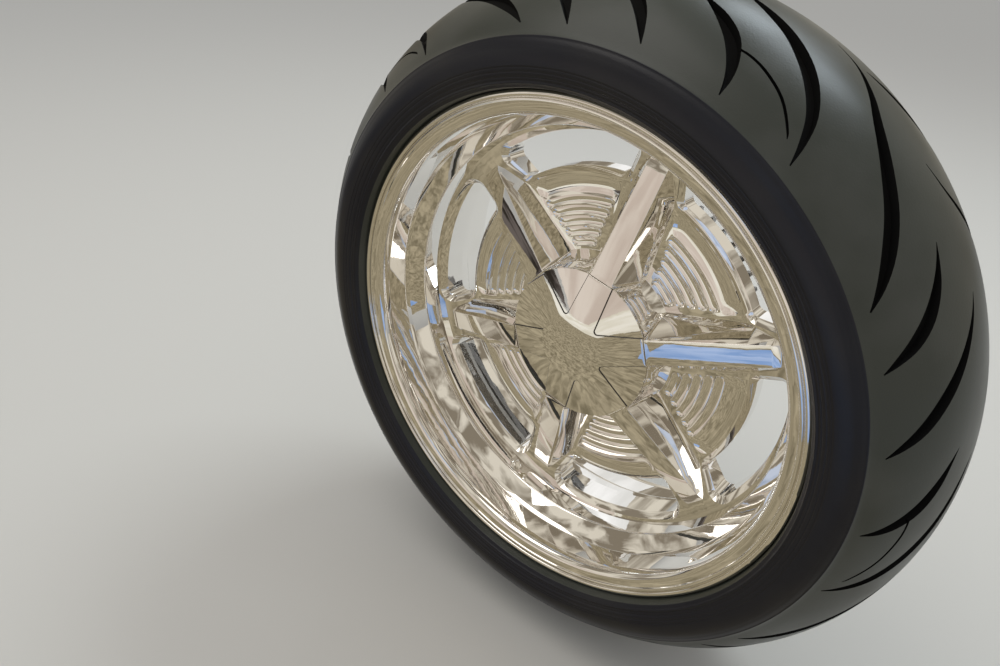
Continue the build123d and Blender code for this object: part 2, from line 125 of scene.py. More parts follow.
def show_in_mirrors(piece, dark, light, scale, edge):
    """Paint a reflection: a piece glows in cloudy patches of two colours, which only mirror finishes show,
    and casts no shadow.
    """
    piece.visible_camera = piece.visible_diffuse = piece.visible_shadow = False
    glow_paint, tree, _ = new_material(piece.name)
    place = add_node(tree, "TexCoord").outputs["Object"]
    clouds = {"Vector": place, "Scale": scale, "Detail": 5.0, "Distortion": 0.6}
    patches = add_node(tree, "TexNoise", clouds).outputs["Fac"]
    shade = mix_colours(tree, span(tree, patches, 0.5 - edge, 0.5 + edge), (*dark, 1), (*light, 1))
    glow = add_node(tree, "Emission", {"Color": shade, "Strength": 1.0})
    tree.links.new(glow.outputs[0], tree.nodes["Material Output"].inputs["Surface"])
    piece.data.materials.append(glow_paint)


def add_card(name, corners, dark, light, scale, edge):
    """Card through four corners in metres that only shows in reflections."""
    bpy.ops.object.select_all(action="DESELECT")
    bpy.ops.mesh.primitive_plane_add(size=1)
    card = bpy.context.object
    card.name = name
    for vertex, spot in zip(card.data.vertices, corners):
        vertex.co = spot
    show_in_mirrors(card, dark, light, scale, edge)


def floor_corners(left, right, near, far, lift):
    """Corners of a card that lies on the floor."""
    level = floor_height + lift
    return [(left, far, level), (right, far, level), (left, near, level), (right, near, level)]


def wall_corners(start, end, low, high):
    """Corners of an upright card between two (x, y) places."""
    return [(*start, low), (*end, low), (*start, high), (*end, high)]


# Name, corners, dark and light colour, density of the patches and softness of their edges.
# Painted reflections: the brown and dark cards paint the shaded floor near the wheel and a dark side into the
# metal, and the others paint bright floor, walls and sky.
cards = [
    ("brown_shade_reflection", floor_corners(-1.35, 1.1, -0.27, -1.42, 0.001),
     (0.20, 0.17, 0.11), (0.44, 0.38, 0.26), 45.0, 0.16),
    ("blue_floor_reflection", floor_corners(0.055, 0.75, -0.87, -1.34, 0.002),
     (0.22, 0.36, 0.66), (0.42, 0.55, 0.82), 6.0, 0.12),
    ("cream_reflection", floor_corners(-1.3, 0.9, -1.42, -2.3, 0.002),
     (0.74, 0.70, 0.58), (0.90, 0.87, 0.78), 3.0, 0.12),
    ("dark_shade_reflection", floor_corners(-2.4, -1.35, -0.1, -2.1, 0.001),
     (0.03, 0.025, 0.02), (0.14, 0.12, 0.11), 3.0, 0.1),
    ("pink_reflection", wall_corners((-1.9, -2.3), (1.2, -2.3), floor_height, 0.45),
     (0.60, 0.51, 0.44), (0.74, 0.66, 0.58), 2.0, 0.1),
    ("blue_high_reflection", wall_corners((0.5, -4.3), (2.2, -4.2), 1.5, 2.8),
     (0.38, 0.46, 0.62), (0.62, 0.70, 0.86), 1.5, 0.1),
    ("white_reflection", wall_corners((-2.3, 1.7), (-0.9, 2.6), 0.7, 1.9),
     (0.80, 0.80, 0.78), (1.1, 1.1, 1.1), 1.0, 0.1),
]
for card in cards:
    add_card(*card)
# The glowing hall paints warm reflections with dark patches all round into every mirror finish.
bpy.ops.object.select_all(action="DESELECT")
hall_radius, hall_tall, hall_sunk = 5.5, 3.6, 0.01
hall_middle = floor_height + hall_tall / 2 - hall_sunk
bpy.ops.mesh.primitive_cylinder_add(
    vertices=48, radius=hall_radius, depth=hall_tall, location=(0, 0, hall_middle)
)
hall = bpy.context.object
hall.name = "hall"
show_in_mirrors(hall, (0.24, 0.205, 0.155), (0.72, 0.67, 0.57), 0.75, 0.07)
# Light bounces between the mirror finishes of dish, spokes and cap many times.
bpy.context.scene.cycles.glossy_bounces = 10
bpy.context.scene.cycles.max_bounces = 14

# Camera: at the photograph's place and angle, with a lens that gives the photograph's frame.
# Its place is in metres and its turn in degrees.
camera_place = (0.3181, -0.7126, 0.3713)
camera_turn = (59.06, -4.15, 40.11)
bpy.ops.object.camera_add(location=camera_place)
camera = bpy.context.object
camera.rotation_euler = Euler([radians(angle) for angle in camera_turn])
camera.data.sensor_width = 36
camera.data.lens = 27.97
camera.data.clip_start = 0.01
bpy.context.scene.camera = camera

# Rim hoop: one spun and turned aluminium ring, its dish side polished like a mirror.
# The tyre's beads sit on its outer side, and the wheel centre is welded to its well.
mount_depth = 234.0
hoop_width = 172.0
lip_radius = 233.4
web_edge = 198.0


def arc_points(centre, start, end, radius, steps):
    """Points along the shorter arc between two points of a circle, both ends included."""
    first = atan2(start[1] - centre[1], start[0] - centre[0])
    turn = atan2(end[1] - centre[1], end[0] - centre[0]) - first
    turn = (turn + pi) % (2 * pi) - pi
    angles = [first + turn * k / steps for k in range(steps + 1)]
    return [(centre[0] + radius * cos(a), centre[1] + radius * sin(a)) for a in angles]


def rounded(corners, closed=True, steps=6):
    """Points of an outline given as (x, y, radius) corners, each corner rounded by its radius."""
    straight = 0.01
    points = []
    for k, (x, y, radius) in enumerate(corners):
        at_end = not closed and k in (0, len(corners) - 1)
        here = Vector((x, y))
        before = Vector(corners[k - 1][:2]) - here
        after = Vector(corners[(k + 1) % len(corners)][:2]) - here
        if at_end or radius == 0 or abs(before.normalized().cross(after.normalized())) < straight:
            points.append((x, y))
            continue
        half = before.angle(after) / 2
        reach = radius / tan(half)
        centre = here + (before.normalized() + after.normalized()).normalized() * radius / sin(half)
        points += arc_points(
            centre, here + before.normalized() * reach, here + after.normalized() * reach, radius, steps
        )
    return points


def set_corners(piece, places):
    """Move the selected points of a piece in edit mode to places, in the order they were made."""
    mesh = bmesh.from_edit_mesh(piece.data)
    chosen = sorted((v for v in mesh.verts if v.select), key=lambda v: v.index)
    for vertex, spot in zip(chosen, places):
        vertex.co = spot
    bmesh.update_edit_mesh(piece.data)


def start_outline(name, places, fill="NOTHING"):
    """Ring of points moved to the places of an outline, left in edit mode."""
    bpy.ops.object.select_all(action="DESELECT")
    bpy.ops.mesh.primitive_circle_add(
        vertices=len(places), radius=0.01, fill_type=fill, enter_editmode=True, location=(0, 0, 0)
    )
    piece = bpy.context.object
    piece.name = piece.data.name = name
    set_corners(piece, places)
    return piece


def spin_profile(name, points, steps=360, beside=0.0, turn=0.0):
    """Body of revolution from a closed (radius, depth) outline in mm, about the axle or an axis beside it."""
    out = Vector((cos(radians(turn)), 0, sin(radians(turn))))
    places = [
        (out * (beside + radius) + Vector((0, depth - mount_depth, 0))) / 1000 for radius, depth in points
    ]
    piece = start_outline(name, places)
    bpy.ops.mesh.spin(steps=steps, angle=2 * pi, center=out * beside / 1000, axis=(0, -1, 0))
    bpy.ops.mesh.select_all(action="SELECT")
    bpy.ops.mesh.remove_doubles(threshold=1e-6)
    bpy.ops.mesh.normals_make_consistent(inside=False)
    bpy.ops.object.mode_set(mode="OBJECT")
    return piece


def choose(piece):
    """Make one object the only one selected and active."""
    bpy.ops.object.select_all(action="DESELECT")
    piece.select_set(True)
    bpy.context.view_layer.objects.active = piece


def smooth(piece, angle=30):
    """Shade a piece smooth, apart from edges sharper than an angle in degrees."""
    choose(piece)
    bpy.ops.object.shade_smooth_by_angle(angle=radians(angle))


hoop_side = [
    (web_edge, 86, 0), (web_edge, 52, 4), (209.2, 39.5, 2.5), (211.6, 36, 2.5), (212.4, 15, 6),
    (214.2, 3.6, 7), (223.6, 2.6, 0.6), (224.3, 1.0, 1.0), (227.1, 1.0, 1.0), (227.4, 2.8, 0.2),
    (227.9, 2.8, 0.2), (228.2, 0, 2.0), (lip_radius, 0, 2.9), (lip_radius, 6.2, 2.2), (217.6, 6.6, 1.5),
    (216.1, 9.0, 1.5), (217.4, 29.5, 1.5), (205, 45, 4), (202.6, 52, 4), (202.6, 86, 0),
]
hoop_outline = hoop_side + [(x, hoop_width - y, radius) for x, y, radius in reversed(hoop_side[1:-1])]
rim_hoop = spin_profile("rim_hoop", rounded(hoop_outline, steps=3))
smooth(rim_hoop)
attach(rim_hoop, "wheel")
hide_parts("rim_barrel")


def new_group(name, inputs, outputs):
    """Empty node group with named sockets, returned with its two end nodes."""
    group = bpy.data.node_groups.new(name, "ShaderNodeTree")
    for title, kind, value in inputs:
        socket = group.interface.new_socket(title, in_out="INPUT", socket_type="NodeSocket" + kind)
        if value is not None:
            socket.default_value = value
    for title in outputs:
        group.interface.new_socket(title, in_out="OUTPUT", socket_type="NodeSocketFloat")
    return group, group.nodes.new("NodeGroupInput"), group.nodes.new("NodeGroupOutput")


def place_group(tree, group, values):
    """A shared effect placed in a material with its own values, read at the object's own coordinates."""
    placed = add_node(tree, "Group", {}, node_tree=group)
    for key, value in values.items():
        placed.inputs[key].default_value = value
    if "Vector" in placed.inputs:
        tree.links.new(add_node(tree, "TexCoord").outputs["Object"], placed.inputs["Vector"])
    return placed


# Polishing marks: cloudy gloss, and the faint ripple that a hand-held wheel leaves.
marks_inputs = [
    ("Vector", "Vector", None), ("Scale", "Float", 38.0), ("Gloss", "Float", 0.012), ("Haze", "Float", 0.04),
]
polish_marks, given, made = new_group("polish_marks", marks_inputs, ["Roughness", "Height"])
vector, scale = given.outputs["Vector"], given.outputs["Scale"]
cloud = add_node(polish_marks, "TexNoise", {"Vector": vector, "Scale": scale, "Detail": 6.0})
dull = span(polish_marks, cloud.outputs["Fac"], 0.35, 0.75, given.outputs["Gloss"], given.outputs["Haze"])
ripple = add_node(polish_marks, "TexNoise", {"Vector": vector, "Scale": 55.0, "Detail": 2.0})
polish_marks.links.new(dull, made.inputs["Roughness"])
polish_marks.links.new(ripple.outputs["Fac"], made.inputs["Height"])

# Dirt: patches of dry dust, more of it in some places than in others.
dirt_inputs = [("Vector", "Vector", None), ("Scale", "Float", 9.0), ("Amount", "Float", 0.2)]
dirt, given, made = new_group("dirt", dirt_inputs, ["Mask"])
vector, scale = given.outputs["Vector"], given.outputs["Scale"]
patches = add_node(dirt, "TexNoise", {"Vector": vector, "Scale": scale, "Detail": 5.0})
mask = span(dirt, patches.outputs["Fac"], 0.45, 0.75, 0.0, given.outputs["Amount"])
dirt.links.new(mask, made.inputs["Mask"])

polished_alloy, tree, shader = new_material("mirror_polish")
shader.inputs["Metallic"].default_value = 1
marks = place_group(tree, polish_marks, {"Scale": 38.0, "Gloss": 0.012, "Haze": 0.04})
tree.links.new(marks.outputs["Roughness"], shader.inputs["Roughness"])
film = place_group(tree, dirt, {"Scale": 14.0, "Amount": 0.25})
tone = mix_colours(tree, film.outputs["Mask"], (0.90, 0.885, 0.865, 1), (0.62, 0.57, 0.50, 1))
tree.links.new(tone, shader.inputs["Base Color"])
bump = add_node(tree, "Bump", {"Height": marks.outputs["Height"], "Strength": 0.12, "Distance": 0.0004})
tree.links.new(bump.outputs["Normal"], shader.inputs["Normal"])
rim_hoop.data.materials.append(polished_alloy)

# Tyre: a wide low radial of black rubber, moulded in one piece and mounted on the hoop.
# Five repeats of five long tapered grooves and a thin branch sweep to the shoulder on each side, 6 mm deep.
crown_height = 319.5
crown_radius = 112.3
shoulder_half = 88.0
shoulder_height = crown_height - crown_radius + sqrt(crown_radius**2 - shoulder_half**2)
tyre_half = 99.0
mid_depth = 86.0


def three_point_arc(start, middle, end, steps):
    """Points along the arc through three points."""
    ax, ay, bx, by, cx, cy = *start, *middle, *end
    d = 2 * (ax * (by - cy) + bx * (cy - ay) + cx * (ay - by))
    sa, sb, sc = ax * ax + ay * ay, bx * bx + by * by, cx * cx + cy * cy
    centre = ((sa * (by - cy) + sb * (cy - ay) + sc * (ay - by)) / d,
              (sa * (cx - bx) + sb * (ax - cx) + sc * (bx - ax)) / d)
    radius = hypot(ax - centre[0], ay - centre[1])
    first = arc_points(centre, start, middle, radius, steps // 2)
    return first + arc_points(centre, middle, end, radius, steps - steps // 2)[1:]


def tread_radius(across):
    """Radius of the tread at a distance across from its centre line, in millimetres."""
    return crown_height - crown_radius + sqrt(crown_radius**2 - across**2)


tread_half = [(tread_radius(shoulder_half * k / 26), shoulder_half * k / 26) for k in range(27)]
# Rings moulded on the side wall: radius, height above it and half width.
wall_lines = [
    (272.4, 0.55, 1.0), (266.0, -0.25, 0.8), (251.0, -0.45, 0.7), (247.6, -0.45, 0.7), (243.6, -0.6, 0.9),
]


def wall_line(radius):
    """Height of the moulded rings on the side wall at a radius, in millimetres."""
    return sum(height * max(0.0, 1 - abs(radius - at) / half) for at, height, half in wall_lines)


wall_top, wall_middle = (shoulder_height - 1.2, shoulder_half + 0.9), (252.5, tyre_half - 0.1)
wall_foot, bead_back = (241.0, 95.6), (239.4, 77.1)
wall = three_point_arc(wall_top, wall_middle, wall_foot, 44)
wall = [(radius, across + wall_line(radius)) for radius, across in wall]
bead = rounded([
    (*wall_foot, 0), (239.2, 96.4, 0.8), (238.0, 94.6, 0.8), (235.6, 92.6, 1.5), (234.3, 87.0, 1.5),
    (233.8, 79.1, 0), (217.9, 79.1, 2), (217.9, 62.1, 2), (229.8, 67.1, 4), (*bead_back, 0),
], closed=False, steps=3)
liner_half, tread_thick, shoulder_thicker = 82.0, 11, 2
inner = three_point_arc(bead_back, (252.5, 92.0), (268.0, liner_half), 6)[1:]
liner = [
    (tread_radius(across) - tread_thick - shoulder_thicker * (across / liner_half) ** 4, across)
    for across in (70, 55, 40, 27, 14, 0)
]
half_section = tread_half + wall[1:] + bead[1:] + inner + liner
section = [(r, mid_depth - across) for r, across in half_section]
other = [(r, mid_depth + across) for r, across in half_section]
tyre = spin_profile("tyre_cover", section + other[-2:0:-1])

# Grooves of one repeat: turn about the axle in degrees, and distance across, width and depth in mm.
shoulder_groove = [
    (79.5, -34, 0.6, 1.5), (77.4, -40, 4.0, 5), (74.4, -48, 8.6, 6), (71.4, -58, 10.2, 6),
    (69.2, -69, 8.0, 6), (67.9, -78, 5.0, 4.5), (67.2, -86, 1.0, 1.5),
]
branch_groove = [
    (70.6, -62, 1.6, 2.5), (68.3, -61, 2.0, 3), (65.5, -62.5, 2.2, 3), (61.5, -68, 2.2, 3),
    (57.9, -77, 1.8, 2.5), (57.0, -80, 0.7, 1.0),
]
long_groove = [
    (76.5, -7, 0.6, 1.5), (73.8, -12.9, 4.6, 5), (70.4, -20, 7.8, 6), (67.1, -27.5, 9.2, 6),
    (63.6, -38, 10.4, 6), (60.4, -49.5, 9.8, 6), (57.4, -63, 7.6, 6), (55.4, -76, 4.6, 4.5),
    (54.1, -86, 1.0, 1.5),
]
crossing_groove = [
    (63.5, 9, 0.6, 1.2), (59.6, 1, 2.4, 4), (55.8, -14, 5.0, 6), (52.2, -30, 7.4, 6),
    (47.4, -45, 9.4, 6), (42.7, -57, 10.4, 6), (38.6, -68, 9.6, 6), (35.2, -77.5, 6.0, 4.5),
    (32.7, -85, 1.2, 1.5),
]
next_shoulder_groove = [
    (37.2, -36, 0.6, 1.2), (35.0, -40.5, 3.4, 5), (32.4, -47, 7.2, 6), (29.4, -57, 9.8, 6),
    (27.0, -68, 9.0, 6), (25.3, -78, 5.2, 4.5), (24.1, -85, 1.0, 1.5),
]
next_long_groove = [
    (29.5, -12, 0.6, 1.2), (27.1, -18, 3.0, 5), (24.2, -28, 6.0, 6), (21.4, -39, 8.6, 6),
    (18.4, -52, 10.0, 6), (15.2, -66, 8.8, 6), (13.1, -77, 5.2, 4.5), (11.7, -84.5, 1.0, 1.5),
]
pattern_turns = [0, -69, -143.5, -217.5, -291]
far_side_shift = -18.0


def tread_place(turn, across, lift):
    """Place in metres on the tread at a turn about the axle and a distance across, lifted by millimetres."""
    lean = asin(across / crown_radius)
    radius = tread_radius(across) + lift * cos(lean)
    across += lift * sin(lean)
    angle = radians(turn)
    return Vector((radius * cos(angle), mid_depth - mount_depth + across, radius * sin(angle))) / 1000


def smooth_path(stations, steps):
    """More stations between the given ones, on a smooth curve through them."""
    padded = [[2 * a - b for a, b in zip(stations[0], stations[1])], *stations,
              [2 * a - b for a, b in zip(stations[-1], stations[-2])]]
    path = []
    for before, start, end, after in zip(padded, padded[1:], padded[2:], padded[3:]):
        for k in range(steps):
            t = k / steps
            path.append([
                0.5 * (
                    2 * b + (c - a) * t + (2 * a - 5 * b + 4 * c - d) * t**2 + (3 * b - a - 3 * c + d) * t**3
                )
                for a, b, c, d in zip(before, start, end, after)
            ])
    return path + [list(stations[-1])]


def loft_sections(name, sections):
    """Closed body through sections of four or more places, extruded from each to the next."""
    piece = start_outline(name, sections[0], fill="NGON")
    for places in sections[1:]:
        bpy.ops.mesh.extrude_region_move()
        set_corners(piece, places)
    bpy.ops.mesh.select_all(action="SELECT")
    bpy.ops.mesh.normals_make_consistent(inside=False)
    bpy.ops.object.mode_set(mode="OBJECT")
    return piece


def groove_cutter(name, stations):
    """Tapered cutter that follows one groove: steep walls, a flat floor and an open top."""
    least_width, least_depth, above_tread = 0.5, 0.8, 3
    top_share, floor_share = 1.25, 0.72
    path = smooth_path(stations, 4)
    sections = []
    for k, (turn, across, width, depth) in enumerate(path):
        ahead = path[min(k + 1, len(path) - 1)]
        behind = path[max(k - 1, 0)]
        along = (tread_place(*ahead[:2], 0) - tread_place(*behind[:2], 0)).normalized()
        up = (tread_place(turn, across, 1) - tread_place(turn, across, 0)).normalized()
        side = along.cross(up).normalized() * max(width, least_width) / 2000
        top, low = tread_place(turn, across, above_tread), tread_place(turn, across, -max(depth, least_depth))
        sections.append([
            top - side * top_share, top + side * top_share,
            low + side * floor_share, low - side * floor_share,
        ])
    return loft_sections(name, sections)


def join(pieces, name):
    """One object out of several."""
    choose(pieces[0])
    for piece in pieces:
        piece.select_set(True)
    bpy.ops.object.join()
    whole = bpy.context.object
    whole.name = whole.data.name = name
    return whole


def copies_round(piece, turns):
    """Copy a piece's mesh about the axle at the turns given, the first being its own, in one object."""
    choose(piece)
    bpy.ops.object.mode_set(mode="EDIT")
    bpy.ops.mesh.select_all(action="SELECT")
    for last, turn in zip(turns, turns[1:]):
        bpy.ops.mesh.duplicate()
        bpy.ops.transform.rotate(value=radians(turn - last), orient_axis="Y", center_override=(0, 0, 0))
    bpy.ops.object.mode_set(mode="OBJECT")


def cut(piece, tool, operation="DIFFERENCE"):
    """Apply an exact boolean with a tool and remove the tool."""
    choose(piece)
    modifier = piece.modifiers.new("cut", "BOOLEAN")
    modifier.operation = operation
    modifier.solver = "EXACT"
    modifier.material_mode = "TRANSFER"  # The cut faces take the tool's own material.
    modifier.object = tool
    bpy.ops.object.modifier_apply(modifier=modifier.name)
    bpy.data.objects.remove(tool)


def mirrored(stations):
    """The same groove on the tyre's far side, shifted round so that the two sides alternate."""
    return [(turn + far_side_shift, -across, width, depth) for turn, across, width, depth in stations]


wide_grooves = [shoulder_groove, long_groove, crossing_groove, next_shoulder_groove, next_long_groove]
tread_cutters = []
for name, group in (("wide", wide_grooves), ("thin", [branch_groove])):
    tools = [groove_cutter(f"{name}_{k}", stations) for k, stations in enumerate(group)]
    tools += [groove_cutter(f"{name}_far_{k}", mirrored(stations)) for k, stations in enumerate(group)]
    tread_cutters.append(join(tools, f"{name}_cutter"))
    copies_round(tread_cutters[-1], pattern_turns)

# The side walls are blacker and smoother than the tread, and dust lies on both.
rubber, tree, shader = new_material("tyre_rubber")
place = add_node(tree, "TexCoord").outputs["Object"]
along_axle = add_node(tree, "SeparateXYZ", {"Vector": place}).outputs["Y"]
middle_back = (mount_depth - mid_depth) / 1000
from_middle = add_node(tree, "Math", {0: along_axle, 1: middle_back}, operation="ADD")
spread = add_node(tree, "Math", {0: from_middle.outputs[0]}, operation="ABSOLUTE").outputs[0]
wall_starts, tread_ends = 0.0926, 0.0922  # Metres from the tyre's middle plane.
on_tread = span(tree, spread, wall_starts, tread_ends)
film = place_group(tree, dirt, {"Scale": 11.0, "Amount": 0.75})
tone = mix_colours(tree, on_tread, (0.005, 0.006, 0.0125, 1), (0.040, 0.043, 0.034, 1))
dust_tone = mix_colours(tree, on_tread, (0.017, 0.016, 0.017, 1), (0.075, 0.075, 0.064, 1))
tree.links.new(mix_colours(tree, film.outputs["Mask"], tone, dust_tone), shader.inputs["Base Color"])
scuffed = add_node(tree, "Math", {0: on_tread, 1: film.outputs["Mask"], 2: 0.2}, operation="MULTIPLY_ADD")
tree.links.new(span(tree, scuffed.outputs[0], 0.2, 0.95, 0.33, 0.52), shader.inputs["Roughness"])
shader.inputs["Specular IOR Level"].default_value = 0.35
grain = add_node(tree, "TexNoise", {"Vector": place, "Scale": 700.0, "Detail": 3.0})
bump = add_node(tree, "Bump", {"Height": grain.outputs["Fac"], "Strength": 0.35, "Distance": 0.0002})
tree.links.new(bump.outputs["Normal"], shader.inputs["Normal"])

# Painted shade deep in the grooves: their cut walls and floors are coloured nearly black and dull, in faint
# patches.
painted_groove_shade, tree, shader = new_material("groove_shade")
film = place_group(tree, dirt, {"Scale": 30.0, "Amount": 0.5})
tone = mix_colours(tree, film.outputs["Mask"], (0.0012, 0.0012, 0.0014, 1), (0.004, 0.004, 0.004, 1))
tree.links.new(tone, shader.inputs["Base Color"])
shader.inputs["Roughness"].default_value = 0.8
shader.inputs["Specular IOR Level"].default_value = 0.15

tyre.data.materials.append(rubber)
for tool in tread_cutters:
    tool.data.materials.append(painted_groove_shade)
    cut(tyre, tool)
smooth(tyre)
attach(tyre, "wheel")
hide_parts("tyre")

# Wheel centre: hub, web and six spokes machined from one aluminium forging and polished.
# Each bay has five ball-milled scallops, a wide cove and one bevelled window.
web_level = 84.4
ring_start = 152.0
ring_slope = 0.26
spoke_turn, bay_turn = 18, 48
sixths = [60 * k for k in range(6)]


def ring_level(radius):
    """Depth of the sloping ring that holds the windows."""
    return web_level - ring_slope * (radius - ring_start)


web_outline = rounded([
    (ring_start, web_level, 0), (81.4, web_level, 0.8), (74, 77, 0.8), (73.3, 53, 0.4), (50.3, 53, 0),
    (50.3, 60, 0), (36, 60, 0.4), (36, 79, 0), (30, 79, 0.4), (30, 127, 0.4), (36, 127, 0), (36, 146, 0.6),
    (62, 146, 1.6), (62, 115, 7), (68, 107.5, 7), (150, 102, 3), (web_edge, 102, 0),
    (web_edge, ring_level(web_edge), 0),
])
wheel_centre = spin_profile("wheel_forging", web_outline)

window_inner, window_outer, window_bevel, window_corner = 158.0, 190.0, 5.0, 8.0
window_side_inner, window_side_outer = 28.0, 22.3


def polar(radius, angle):
    """Point at a radius and an angle in radians."""
    return radius * cos(angle), radius * sin(angle)


def window_line(offset):
    """Outline of a window about +X in mm, grown by an offset, as (along, across) points."""
    inner_r, outer_r = window_inner - offset, window_outer + offset
    near = Vector(polar(window_inner, pi / 6 - asin(window_side_inner / window_inner)))
    far = Vector(polar(window_outer, pi / 6 - asin(window_side_outer / window_outer)))
    along = (far - near).normalized()
    outward = Vector((-along.y, along.x))
    corner = window_corner + offset
    points = []
    for radius, sign in ((inner_r, 1), (outer_r, -1)):
        wall_start = near + outward * (offset - corner)
        middle_r = radius + sign * corner
        b = wall_start.dot(along)
        t = -b + sqrt(b * b - wall_start.length_squared + middle_r**2)
        middle = wall_start + along * t
        on_wall = middle + outward * corner
        on_ring = middle.normalized() * radius
        arc = arc_points(middle, on_ring, on_wall, corner, 10)
        turn = atan2(on_ring.y, on_ring.x)
        ring = [polar(radius, turn * k / 14) for k in range(14)]
        points += (ring + arc) if sign == 1 else (ring + arc)[::-1]
    lower = [(x, -y) for x, y in reversed(points[1:-1])]
    return points + lower


def bay_place(point, depth, turn):
    """Place in metres of an (along, across) point at a depth, turned to the middle of a bay."""
    x, z = point
    a = radians(turn)
    return Vector((x * cos(a) - z * sin(a), depth - mount_depth, x * sin(a) + z * cos(a))) / 1000


before_web, behind_web = 60, 112
window_sections = [[bay_place(p, behind_web, bay_turn) for p in window_line(0.0)]]
for offset, lift in ((0.0, window_bevel), (0.6, window_bevel - 0.35), (window_bevel + 3, -3.0)):
    line = window_line(offset)
    window_sections.append([bay_place(p, ring_level(hypot(*p)) + lift, bay_turn) for p in line])
window_sections.append([bay_place(p, before_web, bay_turn) for p in line])
window_cutter = loft_sections("window_cutter", window_sections)
copies_round(window_cutter, sixths)
cut(wheel_centre, window_cutter)

scallop_count, scallop_pitch, first_scallop = 5, 9.6, 84.0
scallop_half, scallop_deep, cove_half, cove_deep = 4.88, 1.65, 10.1, 1.8
panel_side_start, panel_side_fall = 31.6, 4.6


def scallop_cutter(name, radius, half_width, depth, side):
    """Cutter of a ball tool's path along an arc in one bay, running out round at each end."""
    over_width, over_web, step_turn = 1.08, 3, 1.5
    tool = (half_width**2 + depth**2) / (2 * depth)
    end_turn = degrees(pi / 6 - asin((side + half_width) / radius))
    steps = max(6, int(2 * end_turn / step_turn))
    past = [half_width * sin(radians(a)) for a in (88, 80, 70, 58, 45, 30, 15)]
    stations = [(-end_turn - degrees(e / radius), e) for e in past]
    stations += [(-end_turn + 2 * end_turn * k / steps, 0) for k in range(steps + 1)]
    stations += [(end_turn + degrees(e / radius), e) for e in reversed(past)]
    sections = []
    for turn, e in stations:
        reach = sqrt(half_width**2 - e * e) * over_width
        spread = [reach * sin(radians(a)) for a in range(-90, 91, 10)]
        outline = [(x, web_level + depth - tool + sqrt(tool**2 - e * e - x * x)) for x in spread]
        outline += [(reach, web_level - over_web), (-reach, web_level - over_web)]
        sections.append([bay_place((radius + x, 0), level, bay_turn + turn) for x, level in outline])
    return loft_sections(name, sections)


def panel_side(radius):
    """Distance of a panel's side from the middle line of the spoke beside it."""
    return panel_side_start - panel_side_fall * (radius - first_scallop) / (ring_start - first_scallop)


scallops = []
for number in range(scallop_count):
    radius = first_scallop + scallop_pitch * (number + 0.5)
    name = f"scallop_{number}"
    scallops.append(scallop_cutter(name, radius, scallop_half, scallop_deep, panel_side(radius)))
cove_radius = (first_scallop + scallop_count * scallop_pitch + ring_start) / 2
scallops.append(scallop_cutter("cove", cove_radius, cove_half, cove_deep, panel_side(cove_radius)))
# Neighbours overlap a little, so every second one is cut first and the others after them.
for group in (scallops[0::2], scallops[1::2]):
    scallop_tool = join(group, "scallop_tool")
    copies_round(scallop_tool, sixths)
    cut(wheel_centre, scallop_tool)

pocket_inner, pocket_outer, pocket_corner = 74, 146, 8
pocket_inner_half, pocket_outer_half = radians(18), radians(21)


def pocket_line(inward):
    """Outline of a back pocket about +X in mm, set in by an amount, as (along, across) points."""
    inner_r, outer_r, corner = pocket_inner + inward, pocket_outer - inward, pocket_corner - inward
    inner_half = pocket_inner_half - inward / pocket_inner
    outer_half = pocket_outer_half - inward / pocket_outer
    corners = [(*polar(inner_r, -inner_half), corner)]
    corners += [(*polar(inner_r, inner_half * k / 3), 0) for k in (-1, 0, 1)]
    corners += [(*polar(inner_r, inner_half), corner), (*polar(outer_r, outer_half), corner)]
    corners += [(*polar(outer_r, outer_half * k / 8), 0) for k in range(4, -5, -1)]
    return rounded(corners + [(*polar(outer_r, -outer_half), corner)], steps=6)


pocket_steps = [(0.0, 120), (0.0, 97.5), (0.7, 95.7), (2.2, 95.0)]
pockets = loft_sections("pockets", [
    [bay_place(p, depth, bay_turn) for p in pocket_line(inward)] for inward, depth in pocket_steps
])
copies_round(pockets, sixths)
cut(wheel_centre, pockets)

# Columns: distance from the axle, strip half width, strip depth, half width of the foot on the web.
strip_end, strip_end_depth, strip_half, spoke_root = 175.0, 72.7, 9.5, 8
spoke_stations = [
    (67.0, 27.0, 50.2, 32.0), (68.8, 23.4, 50.2, 30.7), (70.0, 20.0, 50.2, 29.6), (71.2, 16.4, 50.2, 28.6),
    (72.3, 13.3, 50.1, 27.7), (73.4, 11.9, 50.3, 26.9), (75.0, 11.45, 50.7, 26.1), (77.0, 11.4, 51.1, 25.6),
    (157.0, 9.85, 68.7, 22.2), (strip_end, strip_half, strip_end_depth, 19.5),
    (strip_end + 1.5, strip_half, 73.0, 19.3),
    (strip_end + 8.5, strip_half, ring_level(strip_end + 8.5) + 0.1, 18.0),
    (web_edge - 0.2, strip_half, ring_level(web_edge) + 0.3, 16.0),
]
spoke_sections = []
for along, top_half, top_depth, foot_half in spoke_stations:
    outline = rounded([
        (-top_half, top_depth, 0.8), (top_half, top_depth, 0.8), (foot_half, web_level, 0),
        (foot_half, web_level + spoke_root, 0), (-foot_half, web_level + spoke_root, 0),
        (-foot_half, web_level, 0),
    ], steps=4)
    spoke_sections.append([bay_place((along, across), depth, spoke_turn) for across, depth in outline])
spokes = loft_sections("spokes", spoke_sections)
copies_round(spokes, sixths)
cut(wheel_centre, spokes, "UNION")


def cap_line(radius, flat):
    """Outline of the cap in mm: a circle with a flat across each spoke, as (along, across) points."""
    half = acos(flat / radius)
    points = []
    for sixth in sixths:
        turn = radians(spoke_turn + sixth)
        for k in range(8):
            lean = -half + 2 * half * k / 8
            points.append(polar(flat / cos(lean), turn + lean))
        for k in range(24):
            lean = half + (pi / 3 - 2 * half) * k / 24
            points.append(polar(radius, turn + lean))
    return points


